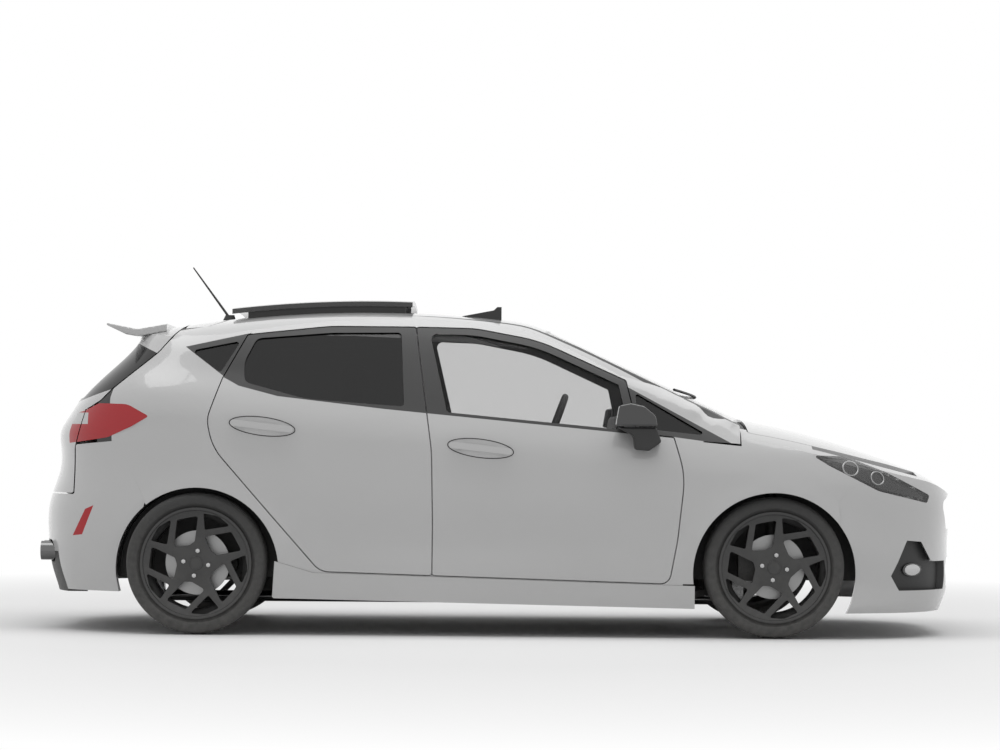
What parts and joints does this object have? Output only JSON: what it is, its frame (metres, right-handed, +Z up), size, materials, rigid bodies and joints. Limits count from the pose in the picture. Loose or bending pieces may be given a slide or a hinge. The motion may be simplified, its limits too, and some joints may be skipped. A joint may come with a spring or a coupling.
{
  "type": "hot hatchback",
  "caption": "Five-door hot hatchback with opening doors, bonnet and tailgate, steered front wheels and an open sunroof panel.",
  "frame": {"origin": "centre of the bounding box at ground level", "axes": "+X forward, +Y to the car's left, +Z up"},
  "size_m": [4.0416, 1.936, 1.6275],
  "materials": {
    "body_paint": "gloss",
    "dark_trim": "satin",
    "glass_clear": "clear",
    "glass_dark": "tinted",
    "tyre": "matte",
    "wheel_dark": "satin",
    "steel": "brushed",
    "chassis": "matte",
    "lamp_clear": "clear",
    "lamp_red": "gloss",
    "seat": "woven",
    "cabin": "grained",
    "chrome": "polished",
    "black_gloss": "gloss"
  },
  "bodies": {
    "body_shell": {"body_sides": "body_paint", "roof_panel": "body_paint", "floor_pan": "chassis", "wheel_liners": "dark_trim", "front_wings": "body_paint", "front_bumper": "body_paint", "rear_bumper": "body_paint", "diffuser": "dark_trim", "side_skirts": "body_paint", "windscreen": "glass_clear", "fixed_side_glass": "glass_dark", "headlamps": "lamp_clear", "tail_lamps": "lamp_red", "grille": "dark_trim", "exhaust": "chrome", "engine_block": "chassis", "dashboard": "cabin", "front_seats": "seat", "rear_bench": "seat", "front_subframe": "chassis", "rear_axle": "chassis", "aerial": "dark_trim", "cowl": "dark_trim", "sunroof_panel": "glass_dark", "sunroof_rails": "dark_trim", "wind_deflector": "dark_trim"},
    "bonnet": {"bonnet": "body_paint"},
    "tailgate": {"tailgate": "body_paint", "rear_window": "glass_dark", "gate_lamps": "lamp_red", "roof_spoiler": "body_paint"},
    "steering_wheel": {"steering_wheel": "cabin"},
    "front_right_door": {"door_front_right": "body_paint", "glass_front_right": "glass_clear", "mirror_right": "black_gloss"},
    "front_left_door": {"door_front_left": "body_paint", "glass_front_left": "glass_clear", "mirror_left": "black_gloss"},
    "rear_right_door": {"door_rear_right": "body_paint", "glass_rear_right": "glass_dark"},
    "rear_left_door": {"door_rear_left": "body_paint", "glass_rear_left": "glass_dark"},
    "right_knuckle": {"knuckle_right": "chassis"},
    "left_knuckle": {"knuckle_left": "chassis"},
    "front_right_wheel": {"tyre_front_right": "tyre", "rim_front_right": "wheel_dark", "disc_front_right": "steel"},
    "front_left_wheel": {"tyre_front_left": "tyre", "rim_front_left": "wheel_dark", "disc_front_left": "steel"},
    "rear_right_wheel": {"tyre_rear_right": "tyre", "rim_rear_right": "wheel_dark", "disc_rear_right": "steel"},
    "rear_left_wheel": {"tyre_rear_left": "tyre", "rim_rear_left": "wheel_dark", "disc_rear_left": "steel"}
  },
  "joints": [
    {"name": "right_steer", "type": "hinge", "parent": "body_shell", "child": "right_knuckle", "pos_m": [1.189, -0.706, 0.2], "axis": [0, 0.2088, 0.9779], "range_deg": [-30, 30]},
    {"name": "left_steer", "type": "hinge", "parent": "body_shell", "child": "left_knuckle", "pos_m": [1.189, 0.706, 0.2], "axis": [0, -0.2088, 0.9779], "range_deg": [-30, 30]},
    {"name": "steering_wheel_turn", "type": "hinge", "parent": "body_shell", "child": "steering_wheel", "pos_m": [0.232, -0.37, 0.88], "axis": [-0.9397, 0, 0.3419], "range_deg": [-360, 360]},
    {"name": "front_right_spin", "type": "hinge", "parent": "right_knuckle", "child": "front_right_wheel", "pos_m": [1.189, -0.748, 0.308], "axis": [0, 1, 0], "continuous": true},
    {"name": "rear_right_spin", "type": "hinge", "parent": "body_shell", "child": "rear_right_wheel", "pos_m": [-1.304, -0.748, 0.308], "axis": [0, 1, 0], "continuous": true},
    {"name": "front_left_spin", "type": "hinge", "parent": "left_knuckle", "child": "front_left_wheel", "pos_m": [1.189, 0.748, 0.308], "axis": [0, 1, 0], "continuous": true},
    {"name": "rear_left_spin", "type": "hinge", "parent": "body_shell", "child": "rear_left_wheel", "pos_m": [-1.304, 0.748, 0.308], "axis": [0, 1, 0], "continuous": true},
    {"name": "front_right_door_swing", "type": "hinge", "parent": "body_shell", "child": "front_right_door", "pos_m": [0.7955, -0.8705, 0.6], "axis": [0, 0, 1], "range_deg": [0, 66]},
    {"name": "front_left_door_swing", "type": "hinge", "parent": "body_shell", "child": "front_left_door", "pos_m": [0.7955, 0.8705, 0.6], "axis": [0, 0, -1], "range_deg": [0, 66]},
    {"name": "rear_right_door_swing", "type": "hinge", "parent": "body_shell", "child": "rear_right_door", "pos_m": [-0.2865, -0.8705, 0.6], "axis": [0, 0, 1], "range_deg": [0, 66]},
    {"name": "rear_left_door_swing", "type": "hinge", "parent": "body_shell", "child": "rear_left_door", "pos_m": [-0.2865, 0.8705, 0.6], "axis": [0, 0, -1], "range_deg": [0, 66]},
    {"name": "tailgate_lift", "type": "hinge", "parent": "body_shell", "child": "tailgate", "pos_m": [-1.3875, 0, 1.366], "axis": [0, 1, 0], "range_deg": [0, 80]},
    {"name": "bonnet_lift", "type": "hinge", "parent": "body_shell", "child": "bonnet", "pos_m": [1.078, 0, 0.955], "axis": [0, -1, 0], "range_deg": [0, 55]}
  ],
  "couplings": [
    {"joint": "left_steer", "follows": "right_steer", "ratio": 1},
    {"joint": "steering_wheel_turn", "follows": "right_steer", "ratio": 12}
  ]
}
